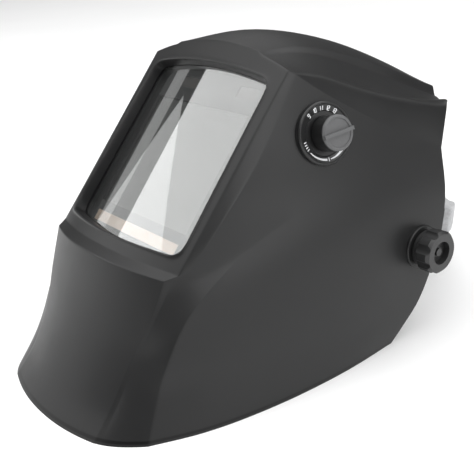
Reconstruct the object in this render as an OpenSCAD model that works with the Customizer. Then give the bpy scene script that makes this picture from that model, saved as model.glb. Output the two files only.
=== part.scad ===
// Auto-darkening welding helmet: a one-piece mask shell with a curved cover lens,
// a filter cartridge in a screwed-in holder, an external shade control, and a
// ratchet headgear hung between two friction pivots.
// Millimetres. Front is -Y, the wearer's left is +X, up is +Z, the rim stands on z = 0.

/* [Shell] */
// Wall thickness of the moulded shell
wall = 2.6; // [2.2:0.1:3.2]
// Extra outward bulge of the cheek panels
cheek_bulge = 3; // [3:0.5:8]
// Height of the raised crown panel above the shoulders, at the rear
crown_step = 6.5; // [3:0.5:8]
// Outward lip height of the pivot bosses from the centre plane
boss_face = 108.6; // [108:0.1:109]

/* [Window] */
// Half width of the window opening at its top
open_half_top = 62; // [60:0.5:63]
// Half width of the window opening at its bottom
open_half_bottom = 64.5; // [62:0.5:65.5]
// Half height of the window opening at its corners
open_half_height = 61; // [59:0.5:62]
// Upward bow of the opening's top edge
bow_top = 3; // [1:0.5:4]
// Downward bow of the opening's bottom edge
bow_bottom = 4; // [1:0.5:5]
// Corner radius of the window opening
open_radius = 9; // [6:0.5:12]
// Lean of the window plane from the vertical, in degrees
window_lean = 41.7; // [40:0.1:43]
// Radius of the curved cover lens
lens_radius = 305; // [280:5:340]
// Thickness of the cover lens
lens_thick = 1.5; // [1:0.1:2]

/* [Filter cartridge] */
// Width of the cartridge
cart_w = 114; // [112:0.5:114]
// Height of the cartridge
cart_h = 133; // [132:0.5:133]
// Diameter of the coin cell
cell_d = 20; // [16:1:20]

/* [Shade control] */
// Diameter of the scale ring round the shade knob
dial_d = 39.4; // [38:0.2:40]
// Diameter of the shade knob
shade_knob_d = 22; // [20:0.5:24]
// Height of the shade knob
shade_knob_h = 13; // [11:0.5:15]

/* [Pivots] */
// Height of the pivot axis above the rim
pivot_z = 66.5; // [64:0.5:68]
// Diameter of the pivot stud
stud_d = 8; // [7:0.5:9]
// Diameter of the tension knobs over their lobes
tension_knob_d = 29.8; // [29:0.2:33]
// Number of lobes on a tension knob
lobes = 8; // [6:1:10]

/* [Headgear] */
// Half width of the headband, outside
band_half_w = 86; // [84:0.5:87]
// Half length of the headband, outside
band_half_l = 108; // [104:0.5:109]
// Height of the headband
band_h = 20; // [16:1:22]
// Thickness of the headband
band_t = 2.2; // [1.8:0.1:2.4]
// Downward slope of the headband towards the rear, in degrees
band_slope = 12; // [10:0.5:14]

/* [Hidden] */

eps = 0.01;
y_shift = -21.5;           // puts the origin under the middle of the whole helmet
charcoal = "#3c3d3f";
black = "#202123";

// ---- Shell control net -------------------------------------------------------------
// One row per level, from the rim over the front and crown to the rear edge. Each row is
// [centre (y, z), front crease, chamfer edge, flank middle, cheek crease or rear edge].
ROWS = [
  [[-169, 0],      [54, -160.5, 0],     [58, -158.5, 0],    [69, -150.5, 0],    [80, -138.5, 0]],
  [[-155, 18],     [52.8, -144.5, 18],  [56, -142.5, 18.2], [65, -137, 20],     [76, -126, 24]],
  [[-140, 42],     [55.2, -129.6, 42],  [58, -127.8, 42.2], [66, -123, 43],     [76.5, -117, 43.5]],
  [[-128, 68],     [62.7, -116.5, 68],  [64.8, -115, 67.5], [70, -112, 65],     [77.5, -105.5, 62]],
  [[-118, 95],     [66.4, -105.8, 91.7], [68.8, -101.8, 90.5], [73, -97, 85],   [79.5, -91, 77.5]],
  [[-110.5, 98.5], [70.4, -98.2, 93.7], [72.8, -92, 95],    [76.5, -83, 93],    [82, -68, 93.5]],
  [[-84, 125.5],   [70.5, -74.7, 119.6], [75.5, -68.5, 119], [79, -58, 115],    [85.5, -42, 106]],
  [[-57, 153],     [70.6, -51.6, 145.3], [75.5, -42, 144.8], [81, -27, 134],    [90, -7, 117.5]],
  [[-29.5, 181],   [70.7, -28.6, 170.9], [73.7, -19, 171.5], [82.5, 3, 153],    [94.5, 36, 125]],
  [[-3, 209],      [70.8, -5.6, 196.5], [72.8, -2, 194.3],  [85, 40, 164],      [99.8, 104, 128]],
  [[35, 210.5],    [73.2, 25, 188],     [75, 27.5, 186],    [86.5, 64, 164.5],  [98.2, 108, 138]],
  [[84, 198],      [75.6, 58, 174.5],   [77.3, 60, 173],    [88, 88, 161.5],    [96, 112.5, 146]],
  [[130, 177.5],   [80.5, 90, 163],     [82, 91.5, 162.2],  [89, 106, 157.5],   [93.5, 117, 152.5]],
  [[170, 153.5],   [78, 129, 153.5],    [79.5, 128.3, 153.8], [85.5, 125, 155.5], [91, 120.5, 156.3]]];
LEDGE = 4;
FRAME = 5;
BROW = 9;
LAST = 13;
// Bottom rim and rear edge of the cheek, from the front crease end round to the notch
RIM = [[80, -138.5, 0], [92, -109, 0], [99.5, -78, 0], [104.5, -39, 0], [106, 5, 0], [103.5, 49, 0]];
REAR = [[103.5, 49, 0], [106, 59.5, 12], [107.5, 72, 25], [108.3, 83, 43], [108.3, 94, 66],
        [106.5, 101, 97], [99.8, 104, 128]];
// Where the columns of the front surface lie, as parts of its half width
PANEL_EDGE = 0.58;
PANEL_WALL = 0.08;
FLANK_STEPS = 6;

function unit(v) = v / norm(v);
// Catmull-Rom curve through the points p at parameter t, counted in points
function through(p, t) =
  let (n = len(p), i = min(max(floor(t), 0), n - 2), f = t - i, b = p[i], c = p[i + 1],
       a = i > 0 ? p[i - 1] : 2 * b - c, d = i + 2 < n ? p[i + 2] : 2 * c - b)
  (2 * b + (c - a) * f + (2 * a - 5 * b + 4 * c - d) * f * f
   + (3 * b - a - 3 * c + d) * f * f * f) / 2;
function slice(p, a, b) = [for (i = [a:b]) p[i]];
// The same curve, with sharp corners at the creases listed in stops
function creased(p, stops, t) =
  let (k = max([for (i = [0:len(stops) - 2]) if (t >= stops[i] - eps) i]))
  through(slice(p, stops[k], stops[k + 1]), t - stops[k]);
CREASES = [0, LEDGE, FRAME, BROW, LAST];
SMOOTH = [0, BROW, LAST];
function column(k, t) = creased([for (r = ROWS) r[k]], k < 3 ? CREASES : SMOOTH, t);
function crown(t) = max(0, (t - BROW) / (LAST - BROW));
function panel_edge(t) = PANEL_EDGE + 0.13 * crown(t);
function raise(t) = t < BROW ? 0 : 1 + (crown_step - 1) * crown(t);
// Part of the raised crown panel's height that is present at half-width fraction u
function panel(t, u) = min(max((panel_edge(t) + PANEL_WALL - u) / PANEL_WALL, 0), 1);
function front(t, u) =
  let (c = column(0, t), e = column(1, t), g = pow(u, 2.1), h = raise(t))
  [u * e[0], c[0] + (e[1] - c[0]) * g, c[1] - h + (e[2] - c[1] + h) * g + h * panel(t, u)];
function flank(t, v) =
  let (g = column(2, t), m = column(3, t), k = column(4, t), q = 2 * m - (g + k) / 2)
  (1 - v) * (1 - v) * g + 2 * v * (1 - v) * q + v * v * k;
function cheek(u, w) =
  let (low = column(4, w * LEDGE), top = column(4, LEDGE + u * (BROW - LEDGE)),
       rim = through(RIM, u * (len(RIM) - 1)), rear = through(REAR, w * (len(REAR) - 1)),
       a = RIM[0], b = REAR[0], c = ROWS[BROW][4], d = ROWS[LEDGE][4],
       swell = cheek_bulge * sin(180 * u) * sin(180 * w))
  (1 - w) * rim + w * top + (1 - u) * low + u * rear
  - ((1 - u) * (1 - w) * a + u * (1 - w) * b + u * w * c + (1 - u) * w * d) + [swell, 0, 0];

LOW_STEP = 1 / 3;
HIGH_STEP = 1 / 2;
LEVELS = concat([for (t = [0:LOW_STEP:LEDGE - eps]) t], [LEDGE],
                [for (t = [FRAME:HIGH_STEP:LAST + eps]) t]);
CHEEK_ROWS = LEDGE / LOW_STEP;                       // levels below the ledge
CHEEK_COLS = 1 + (BROW - FRAME) / HIGH_STEP;         // levels from the ledge to the brow
function front_steps(t) =
  let (p = panel_edge(t), q = p + PANEL_WALL) [0, p / 3, 2 * p / 3, p, q, (q + 1) / 2, 1];
function half_row(t) = concat([for (u = front_steps(t)) front(t, u)],
                              [for (v = [0:FLANK_STEPS]) flank(t, v / FLANK_STEPS)]);
HALF = [for (t = LEVELS) half_row(t)];
HC = len(HALF[0]) - 1;
NR = len(LEVELS);
NC = 2 * HC + 1;
function flip(p) = [-p[0], p[1], p[2]];
function cheek_level(a) = (LEVELS[CHEEK_ROWS + a] - LEDGE) / (BROW - LEDGE);
CHEEK = [for (a = [0:CHEEK_COLS]) [for (b = [0:CHEEK_ROWS])
         cheek(cheek_level(a), LEVELS[b] / LEDGE)]];

// Unit normals, from the neighbours of each point
function grid_next(i) =
  i <= CHEEK_ROWS ? CHEEK[1][min(i, CHEEK_ROWS - 1)]
  : i <= CHEEK_ROWS + CHEEK_COLS ? CHEEK[i - CHEEK_ROWS][CHEEK_ROWS - 1] : HALF[i][HC];
function half_normal(i, j) =
  let (across = (j == HC ? grid_next(i) : HALF[i][j + 1])
                - (j == 0 ? flip(HALF[i][1]) : HALF[i][j - 1]),
       along = HALF[min(i + 1, NR - 1)][j] - HALF[max(i - 1, 0)][j])
  unit(cross(across, along));
function cheek_normal(a, b) =
  let (across = CHEEK[min(a + 1, CHEEK_COLS)][b] - CHEEK[max(a - 1, 0)][b],
       along = CHEEK[a][min(b + 1, CHEEK_ROWS)] - CHEEK[a][max(b - 1, 0)])
  unit(cross(across, along));
function inward(p, n) =
  let (q = p - wall * n) [q[0], q[1], p[2] < eps ? 0 : max(q[2], 0)];
HALF_IN = [for (i = [0:NR - 1]) [for (j = [0:HC]) inward(HALF[i][j], half_normal(i, j))]];
CHEEK_IN = [for (a = [0:CHEEK_COLS]) [for (b = [0:CHEEK_ROWS])
            inward(CHEEK[a][b], cheek_normal(a, b))]];
function skin(half, side) = concat(
  [for (i = [0:NR - 1]) for (j = [-HC:HC]) j < 0 ? flip(half[i][-j]) : half[i][j]],
  [for (s = [1, -1]) for (a = [1:CHEEK_COLS]) for (b = [0:CHEEK_ROWS - 1])
   s > 0 ? side[a][b] : flip(side[a][b])]);
function at(i, j) = i * NC + j;
function side_at(s, a, b) =
  a == 0 ? at(b, s > 0 ? NC - 1 : 0)
  : b == CHEEK_ROWS ? at(CHEEK_ROWS + a, s > 0 ? NC - 1 : 0)
  : NR * NC + (s > 0 ? 0 : CHEEK_COLS * CHEEK_ROWS) + (a - 1) * CHEEK_ROWS + b;
// Each quad as two triangles; turned is true for the mirrored side
function quad(a, b, c, d, turned) = turned ? [[a, c, b], [a, d, c]] : [[a, b, c], [a, c, d]];
OUTER_FACES = concat(
  [for (i = [0:NR - 2]) for (j = [0:NC - 2])
   each quad(at(i, j), at(i + 1, j), at(i + 1, j + 1), at(i, j + 1), false)],
  [for (s = [1, -1]) for (a = [0:CHEEK_COLS - 1]) for (b = [0:CHEEK_ROWS - 1])
   each quad(side_at(s, a, b), side_at(s, a, b + 1), side_at(s, a + 1, b + 1),
             side_at(s, a + 1, b), s < 0)]);
EDGE = concat(
  [for (j = [0:NC - 1]) at(0, j)],
  [for (a = [1:CHEEK_COLS]) side_at(1, a, 0)],
  [for (b = [1:CHEEK_ROWS - 1]) side_at(1, CHEEK_COLS, b)],
  [for (i = [CHEEK_ROWS + CHEEK_COLS:NR - 1]) at(i, NC - 1)],
  [for (j = [NC - 2:-1:0]) at(NR - 1, j)],
  [for (i = [NR - 2:-1:CHEEK_ROWS + CHEEK_COLS]) at(i, 0)],
  [for (b = [CHEEK_ROWS - 1:-1:0]) side_at(-1, CHEEK_COLS, b)],
  [for (a = [CHEEK_COLS - 1:-1:1]) side_at(-1, a, 0)]);

module mask() {
  outer = skin(HALF, CHEEK);
  inner = skin(HALF_IN, CHEEK_IN);
  m = len(outer);
  polyhedron(concat(outer, inner), concat(
    OUTER_FACES,
    [for (f = OUTER_FACES) [f[2] + m, f[1] + m, f[0] + m]],
    [for (k = [0:len(EDGE) - 1]) let (p = EDGE[k], q = EDGE[(k + 1) % len(EDGE)])
     each quad(p, q, q + m, p + m, false)]));
}

// ---- Frames of reference ------------------------------------------------------------
// The whole helmet, moved so that the origin lies under its middle
module placed() { translate([0, y_shift, 0]) children(); }
// Window frame: x across, y up along the window, z outward through the lens
WINDOW = [0, -53, 146.5];
module at_window() { translate(WINDOW) rotate([90 - window_lean, 0, 0]) children(); }
// Shade dial frame: z outward through the middle of the dial
DIAL = [83.4, 9.8, 156.55];
module at_dial() { translate(DIAL) rotate([0, 77, -8]) children(); }
// Pivot frame of one side: z outward along the pivot axis, y up
PIVOT_Y = 75;
module at_pivot(side) {
  translate([0, PIVOT_Y, pivot_z]) mirror([side < 0 ? 1 : 0, 0, 0]) rotate([90, 0, 90]) children();
}
// Headband frame: the band's middle plane, tilted down towards the rear
BAND = [0, 88, 69.7];
module at_band() { translate(BAND) rotate([-band_slope, 0, 0]) children(); }

// ---- Shared shapes --------------------------------------------------------------------
module tube(outer, inner, from, to) {
  difference() {
    translate([0, 0, from]) cylinder(r = outer, h = to - from, $fn = 64);
    translate([0, 0, from - 1]) cylinder(r = inner, h = to - from + 2, $fn = 64);
  }
}
module disc(r, from, to) { translate([0, 0, from]) cylinder(r = r, h = to - from, $fn = 64); }
module rod(r, h) { cylinder(r = r, h = h, $fn = 32); }
// Rounded rectangle plate standing on z = from
module plate(w, h, r, from, to) {
  translate([0, 0, from]) linear_extrude(to - from) rounded(w, h, r);
}
module rounded(w, h, r) {
  corner = [for (c = [[1, 1, 0], [-1, 1, 90], [-1, -1, 180], [1, -1, 270]]) for (a = [0:15:90])
            [c[0] * (w / 2 - r) + r * cos(c[2] + a), c[1] * (h / 2 - r) + r * sin(c[2] + a)]];
  polygon(corner);
}
// Outline of the window opening, grown outward by m: bowed edges joined by round corners
function bowed(w, y, bow, r, n) =
  let (x = w - r) [for (i = [0:n]) let (u = 2 * i / n - 1) [u * x, y + bow * (1 - u * u)]];
function arc(x, y, r, from, to) =
  [for (a = [from:(to - from) / 6:to + eps]) [x + r * cos(a), y + r * sin(a)]];
module window_outline(m) {
  r = open_radius + m;
  h = open_half_height + m;
  t = open_half_top + m;
  b = open_half_bottom + m;
  polygon(concat(
    [for (p = bowed(b, -h, -bow_bottom, r, 12)) p], arc(b - r, r - h, r, -75, 0),
    arc(t - r, h - r, r, 0, 75), [for (p = bowed(t, h, bow_top, r, 12)) [-p[0], p[1]]],
    arc(r - t, h - r, r, 105, 180), arc(r - b, r - h, r, 180, 255)));
}

// ---- Shell -------------------------------------------------------------------------------
BOSS_R = 15;
BOSS_BACK = 103.4;
BUSH_R = 6;
POT_R = 4.5;
HOLDER_BOSS = [[48, -71.5], [-48, -71.5], [48, 71.5], [-48, 71.5]];
HOLDER_BOSS_TOP = [3.9, 3.9, 0, 0];
BOSS_FOOT = -11.4;
SCREW_R = 1.5;
// One-piece mask shell with the window opening, pivot bosses, dial seat and screw bosses
module shell() {
  color(charcoal) placed() difference() {
    union() {
      mask();
      for (side = [1, -1]) at_pivot(side) disc(BOSS_R, BOSS_BACK, boss_face);
      at_dial() disc(dial_d / 2 + 0.4, -3.6, -0.2);
      at_window() for (k = [0:3])
        translate([HOLDER_BOSS[k][0], HOLDER_BOSS[k][1], 0]) disc(2.6, BOSS_FOOT, HOLDER_BOSS_TOP[k]);
    }
    at_window() translate([0, 0, BOSS_FOOT]) linear_extrude(40) window_outline(0);
    for (side = [1, -1]) at_pivot(side) disc(BUSH_R, BOSS_BACK - 2, boss_face + 2);
    at_dial() disc(POT_R + 0.1, -8, 2);
    at_window() for (k = [0:3])
      translate([HOLDER_BOSS[k][0], HOLDER_BOSS[k][1], 0]) disc(SCREW_R + 0.02, BOSS_FOOT - 1, -5.2);
  }
}

// ---- Lens, holder and filter cartridge, in the window frame -----------------------------
LENS_TOP = -1.5;              // front of the lens on its centre line
CYL = LENS_TOP - lens_radius; // height of the lens cylinder's axis
HOLDER_W = 138;
HOLDER_H = 142;
CART_FRONT = -9.2;
CART_BACK = -18.7;
HOLDER_BACK = -19;
APERTURE_W = 112;
APERTURE_H = 128;
GASKET = 1;
module lens_cylinder(r) { translate([0, 90, CYL]) rotate([90, 0, 0]) cylinder(r = r, h = 180, $fn = 360); }
// Curved clear cover lens behind the opening
module cover_lens() {
  color("lightcyan", 0.35) placed() at_window() difference() {
    intersection() {
      translate([0, 0, -16]) linear_extrude(20) window_outline(2.4);
      lens_cylinder(lens_radius);
    }
    lens_cylinder(lens_radius - lens_thick);
  }
}
// Rubber seal between the lens and its holder
module lens_gasket() {
  color(black) placed() at_window() difference() {
    intersection() {
      translate([0, 0, -16]) linear_extrude(20) difference() {
        window_outline(2.4);
        window_outline(-1.2);
      }
      lens_cylinder(lens_radius - lens_thick - 0.02);
    }
    lens_cylinder(lens_radius - lens_thick - GASKET);
    plate(cart_w + 1.2, cart_h + 1.2, 1.5, CART_BACK, CART_FRONT + 0.4);
  }
}
// Holder that presses the lens forward and carries the cartridge in its back
module lens_holder() {
  color(black) placed() at_window() difference() {
    union() {
      intersection() {
        translate([0, 0, HOLDER_BACK]) linear_extrude(30) window_outline(3.2);
        lens_cylinder(lens_radius - lens_thick - GASKET - 0.02);
      }
      plate(HOLDER_W, HOLDER_H, 8, HOLDER_BACK, -12);
      for (p = HOLDER_BOSS) translate([p[0], sign(p[1]) * 70, 0]) plate(11, 12, 3, -14.4, BOSS_FOOT - 0.1);
    }
    translate([0, 0, CART_FRONT - 0.1]) linear_extrude(40) intersection() {
      window_outline(-1.5);
      rounded(APERTURE_W, APERTURE_H, 3);
    }
    plate(cart_w + 0.6, cart_h + 0.6, 1.5, HOLDER_BACK - 1, CART_FRONT + 0.1);
    for (p = HOLDER_BOSS) translate([p[0], p[1], 0]) {
      disc(SCREW_R + 0.1, -30, 0);
      disc(3.2, -30, -14.3);
    }
    for (p = SPRING_SCREW) translate([p[0], p[1], 0]) disc(SCREW_R + 0.02, -30, HOLDER_BACK + 7);
  }
}
// Four screws that hold the holder to the shell's bosses
module holder_screws() {
  color("silver") placed() at_window() for (p = HOLDER_BOSS) translate([p[0], p[1], 0]) {
    disc(2.7, -16.2, -14.35);
    disc(SCREW_R, -14.4, -6);
  }
}
FRONT_WALL = 1.6;
GLASS_W = 104;
GLASS_H = 88;
GLASS_Y = -3.4;
SPLIT = -14;                   // joint between the housing and its back
STRIP_Y = -56.3;
STRIP_W = 96.5;
STRIP_H = 8.2;
SENSOR_X = [-24, 38.5];
SENSOR_Y = 52.5;
// Front half of the cartridge: window, solar strip pocket and two sensor windows
module filter_housing() {
  color(black) placed() at_window() difference() {
    plate(cart_w, cart_h, 1.2, SPLIT + 0.05, CART_FRONT);
    plate(cart_w - 3, cart_h - 3, 1, SPLIT, CART_FRONT - FRONT_WALL);
    translate([0, GLASS_Y, 0]) plate(GLASS_W - 4, GLASS_H - 4, 1, -30, 0);
    translate([0, STRIP_Y, 0]) plate(STRIP_W, STRIP_H, 0.6, CART_FRONT - 0.7, 0);
    for (x = SENSOR_X) translate([x, SENSOR_Y, 0]) plate(19, 8.5, 0.8, -30, 0);
  }
}
// Liquid-crystal filter glass
module filter_glass() {
  color([0.16, 0.2, 0.17, 0.8]) placed() at_window()
    translate([0, GLASS_Y, 0]) plate(GLASS_W, GLASS_H, 0.8, SPLIT + 0.2, CART_FRONT - FRONT_WALL - 0.05);
}
// Solar cell strip below the glass
module solar_panel() {
  color("peru") placed() at_window()
    translate([0, STRIP_Y, 0]) plate(STRIP_W - 0.6, STRIP_H - 0.6, 0.4, CART_FRONT - 0.68, CART_FRONT - 0.1);
}
// Two arc sensor windows above the glass
module arc_sensors() {
  color([0.2, 0.06, 0.05]) placed() at_window() for (x = SENSOR_X)
    translate([x, SENSOR_Y, 0]) plate(18.6, 8.1, 0.6, -11.4, CART_FRONT - 0.5);
}
// Circuit board behind the sensors
module circuit_board() {
  color("darkgreen") placed() at_window()
    translate([0, SENSOR_Y, 0]) plate(104, 20, 1, -13.6, -12);
}
POD_BACK = -29;
POD_Y = 54.8;
POD_H = 22;
KNOB_X = 38;
BUTTON_X = 12;
TRAY_X = -13;
TRAY_W = 26;
TRAY_BACK = -25.6;
TRAY_FRONT = -20.6;
CELL_Y = POD_Y + 1.5;
SHAFT_R = 2;
BUTTON_R = 2.6;
// Back half of the cartridge, with the pod that holds the controls and the battery tray
module filter_back() {
  color(black) placed() at_window() difference() {
    union() {
      plate(cart_w, cart_h, 1.2, CART_BACK, SPLIT - 0.05);
      translate([0, POD_Y, 0]) plate(104, POD_H, 4, POD_BACK, CART_BACK + 0.1);
    }
    plate(cart_w - 3, cart_h - 3, 1, SPLIT - 3, SPLIT);
    translate([0, GLASS_Y, 0]) plate(GLASS_W - 4, GLASS_H - 4, 1, -40, 0);
    for (s = [1, -1]) translate([s * KNOB_X, POD_Y, 0]) disc(SHAFT_R + 0.05, -40, -22);
    translate([BUTTON_X, POD_Y, 0]) disc(BUTTON_R + 0.05, -40, -23);
    translate([TRAY_X, POD_Y + 5, (TRAY_BACK + TRAY_FRONT) / 2])
      cube([TRAY_W + 0.8, POD_H + 8, TRAY_FRONT - TRAY_BACK + 0.8], center = true);
  }
}
// Clear plate that protects the back of the filter glass
module inner_lens() {
  color("lightcyan", 0.35) placed() at_window()
    translate([0, GLASS_Y, 0]) plate(104, 86, 2, CART_BACK - 1.1, CART_BACK - 0.1);
}
SPRING_SCREW = [[63.2, 61.6], [63.2, -61.6], [-63.2, 61.6], [-63.2, -61.6]];
// Two flat springs that keep the cartridge in the holder
module retainer_springs() {
  color("silver") placed() at_window() for (s = [1, -1]) difference() {
    translate([s * 61, 0, 0]) plate(12, 131, 2, HOLDER_BACK - 1.1, HOLDER_BACK - 0.1);
    for (p = SPRING_SCREW) translate([p[0], p[1], 0]) disc(SCREW_R + 0.1, -30, 0);
  }
}
// Four screws that hold the two springs
module spring_screws() {
  color("silver") placed() at_window() for (p = SPRING_SCREW) translate([p[0], p[1], 0]) {
    disc(2.6, HOLDER_BACK - 2.8, HOLDER_BACK - 1.15);
    disc(SCREW_R, HOLDER_BACK - 1.2, HOLDER_BACK + 6);
  }
}
// Fluted thumb knob with its shaft, on the inside of the pod
module pod_knob(x) {
  placed() at_window() translate([x, POD_Y, 0]) {
    difference() {
      disc(7, POD_BACK - 6.5, POD_BACK - 0.4);
      for (a = [0:30:330]) rotate(a) translate([7.6, 0, POD_BACK - 8]) rod(1.2, 10);
      translate([0, 3.6, POD_BACK - 6.8]) cube([1.2, 5, 1.2], center = true);
    }
    disc(SHAFT_R, POD_BACK - 0.5, -22.4);
  }
}
module sensitivity_knob() { color("dimgray") pod_knob(KNOB_X); }
module delay_knob() { color("dimgray") pod_knob(-KNOB_X); }
BUTTON_TRAVEL = 1;
// Sprung test button
module test_button() {
  color("darkred") placed() at_window() translate([BUTTON_X, POD_Y, 0]) {
    disc(4, POD_BACK - 3.2, POD_BACK - BUTTON_TRAVEL - 0.4);
    disc(BUTTON_R, POD_BACK - 2, -24.4);
  }
}
// Tray that slides out of the top of the pod, with a recess for the coin cell
module battery_tray() {
  color("dimgray") placed() at_window() difference() {
    translate([TRAY_X, POD_Y + 2, (TRAY_BACK + TRAY_FRONT) / 2])
      cube([TRAY_W, POD_H + 1, TRAY_FRONT - TRAY_BACK], center = true);
    translate([TRAY_X, CELL_Y, 0]) disc(cell_d / 2 + 0.2, TRAY_BACK + 1, 0);
  }
}
// Coin cell in the tray
module battery_cell() {
  color("silver") placed() at_window() translate([TRAY_X, CELL_Y, 0])
    disc(cell_d / 2, TRAY_BACK + 1.05, TRAY_BACK + 4.3);
}

// ---- Shade control, in the dial frame ----------------------------------------------------
NUT_TOP = 2.1;
SPIN_R = 3;
// Scale ring with a raised rim and a sloping scale face
module dial_plate() {
  color(black) placed() at_dial() rotate_extrude($fn = 96)
    polygon([[7.6, -0.15], [dial_d / 2, -0.15], [dial_d / 2, 1.5], [dial_d / 2 - 0.6, 2.2],
             [dial_d / 2 - 1.4, 2.2], [dial_d / 2 - 2, 1.6], [dial_d / 2 - 5.4, 1],
             [dial_d / 2 - 6, 0.6], [7.6, 0.6]]);
}
// Potentiometer body inside the shell, with its threaded bush through the wall
module shade_pot() {
  color("silver") placed() at_dial() difference() {
    union() {
      disc(8.5, -14, -3.9);
      disc(POT_R, -4, NUT_TOP + 0.3);
    }
    disc(SPIN_R + 0.05, -12, 6);
  }
}
// Hexagon nut on the potentiometer's bush
module pot_nut() {
  color("silver") placed() at_dial() difference() {
    translate([0, 0, 0.1]) cylinder(r = 7.2, h = NUT_TOP - 0.1, $fn = 6);
    disc(POT_R + 0.02, -1, 4);
  }
}
// Shaft turned by the shade knob
module shade_shaft() { color("silver") placed() at_dial() disc(SPIN_R, -11.5, 10); }
// Round shade knob with a grip bar, hollow underneath to clear the nut
module shade_knob() {
  r = shade_knob_d / 2;
  base = 2.9;
  top = base + shade_knob_h;
  color(black) placed() at_dial() difference() {
    union() {
      rotate_extrude($fn = 96) polygon([[0, base], [r, base], [r, top - 1.2], [r - 1, top - 0.4],
                                        [r - 2, top - 0.4], [r - 2.4, top - 1], [0, top - 1]]);
      rotate(96) translate([0, 0, top - 0.5]) cube([2 * r, 2.2, 2.6], center = true);
    }
    disc(8, base - 1, 5.4);
    disc(SPIN_R + 0.01, base, 10.05);
  }
}

// ---- Pivots --------------------------------------------------------------------------------
STUD_R = stud_d / 2;
KNOB_BASE = 110.2;
KNOB_FACE = 124.6;
FLANGE = 1.1;
ARM_IN = 94;
ARM_OUT = 99;
SQUARE = 9;
// Flanged bush pressed into the shell from outside
module pivot_bushing(side) {
  color("dimgray") placed() at_pivot(side) difference() {
    union() {
      disc(BUSH_R - 0.02, BOSS_BACK, boss_face + 0.1);
      disc(11, boss_face + 0.05, boss_face + FLANGE);
    }
    disc(STUD_R + 0.05, BOSS_BACK - 1, boss_face + 4);
  }
}
module pivot_bushing_left() { pivot_bushing(1); }
module pivot_bushing_right() { pivot_bushing(-1); }
// Washer between the shell and the angle plate
module friction_washer(side) { color(black) placed() at_pivot(side) tube(13, STUD_R + 0.4, 102, 103.3); }
module friction_washer_left() { friction_washer(1); }
module friction_washer_right() { friction_washer(-1); }
// Square-necked stud: head inside the arm, shaft out through the shell into the knob
module pivot_stud(side) {
  color("dimgray") placed() at_pivot(side) {
    disc(8, 91.6, ARM_IN - 0.05);
    translate([0, 0, (ARM_IN + ARM_OUT) / 2]) cube([SQUARE, SQUARE, ARM_OUT - ARM_IN + 0.2], center = true);
    disc(STUD_R, ARM_OUT, 120.6);
    disc(2.7, 120.5, 122.4);
  }
}
module pivot_stud_left() { pivot_stud(1); }
module pivot_stud_right() { pivot_stud(-1); }
// Lobed tension knob with a recessed face
module tension_knob(side) {
  r = tension_knob_d / 2;
  color(black) placed() at_pivot(side) difference() {
    union() {
      disc(r - 2.4, KNOB_BASE, KNOB_BASE + 4);
      rotate_extrude($fn = 96) polygon([[0, KNOB_BASE + 3.5], [r - 1, KNOB_BASE + 3.5], [r, KNOB_BASE + 4.5],
                                        [r, KNOB_FACE - 2], [r - 1.8, KNOB_FACE], [0, KNOB_FACE]]);
    }
    for (k = [0:lobes - 1]) rotate((k + 0.5) * 360 / lobes)
      translate([r + 2.4, 0, KNOB_BASE - 1]) rod(4.2, 20);
    disc(8, KNOB_FACE - 4.6, KNOB_FACE + 1);
    disc(STUD_R + 0.4, KNOB_BASE - 1, KNOB_FACE);
    translate([0, 0, INSERT_IN - 0.05]) cylinder(r = 7.25, h = INSERT_OUT - INSERT_IN + 0.1, $fn = 6);
  }
}
INSERT_IN = KNOB_BASE + 2;
INSERT_OUT = KNOB_FACE - 6.2;
module tension_knob_left() { tension_knob(1); }
module tension_knob_right() { tension_knob(-1); }
// Brass nut moulded into the knob
module knob_insert(side) {
  color("goldenrod") placed() at_pivot(side) difference() {
    translate([0, 0, INSERT_IN]) cylinder(r = 7.2, h = INSERT_OUT - INSERT_IN, $fn = 6);
    disc(STUD_R + 0.05, KNOB_BASE, KNOB_FACE);
  }
}
module knob_insert_left() { knob_insert(1); }
module knob_insert_right() { knob_insert(-1); }
// Arm from the headband to the pivot; its front end is riveted to the band
ARM_END = [-30, 7.5];
module pivot_arm(side) {
  color(black) placed() difference() {
    at_pivot(side) difference() {
      union() {
        translate([0, 0, ARM_IN]) linear_extrude(ARM_OUT - ARM_IN) hull() {
          circle(r = 14, $fn = 48);
          translate(ARM_END) circle(r = 10, $fn = 48);
        }
        translate(ARM_END) disc(8, 72, ARM_IN + 0.1);
      }
      translate([0, 0, (ARM_IN + ARM_OUT) / 2]) cube([SQUARE + 0.2, SQUARE + 0.2, 10], center = true);
      translate(ARM_END) disc(2.55, 70, ARM_OUT + 1);
      translate(ARM_END) disc(4.6, ARM_OUT - 2.2, ARM_OUT + 1);
    }
    at_band() ellipse_block(band_half_w + 0.05, band_half_l + 0.05, 60);
  }
}
module pivot_arm_left() { pivot_arm(1); }
module pivot_arm_right() { pivot_arm(-1); }
// Toothed plate that sets where the raised helmet stops
module angle_plate(side) {
  color("dimgray") placed() at_pivot(side) difference() {
    union() {
      disc(12.5, ARM_OUT + 0.1, 101.6);
      for (a = [60:20:120]) rotate(a) translate([12.5, 0, ARM_OUT + 0.1]) rod(1.6, 1.5);
    }
    disc(STUD_R + 0.1, ARM_OUT - 1, 103);
  }
}
module angle_plate_left() { angle_plate(1); }
module angle_plate_right() { angle_plate(-1); }

// ---- Headgear ------------------------------------------------------------------------------
// Part of an oval ring in the band plane, from angle a to angle b, measured from +X
SQUARENESS = 2.3;
function bend(u) = sign(u) * pow(abs(u), 2 / SQUARENESS);
function on_oval(w, l, k) = [w * bend(cos(k)), l * bend(sin(k))];
module oval(w, l, t, h, a, b, n) {
  ring = concat([for (i = [0:n]) on_oval(w, l, a + (b - a) * i / n)],
                [for (i = [n:-1:0]) on_oval(w - t, l - t, a + (b - a) * i / n)]);
  translate([0, 0, -h / 2]) linear_extrude(h) polygon(ring);
}
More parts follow.
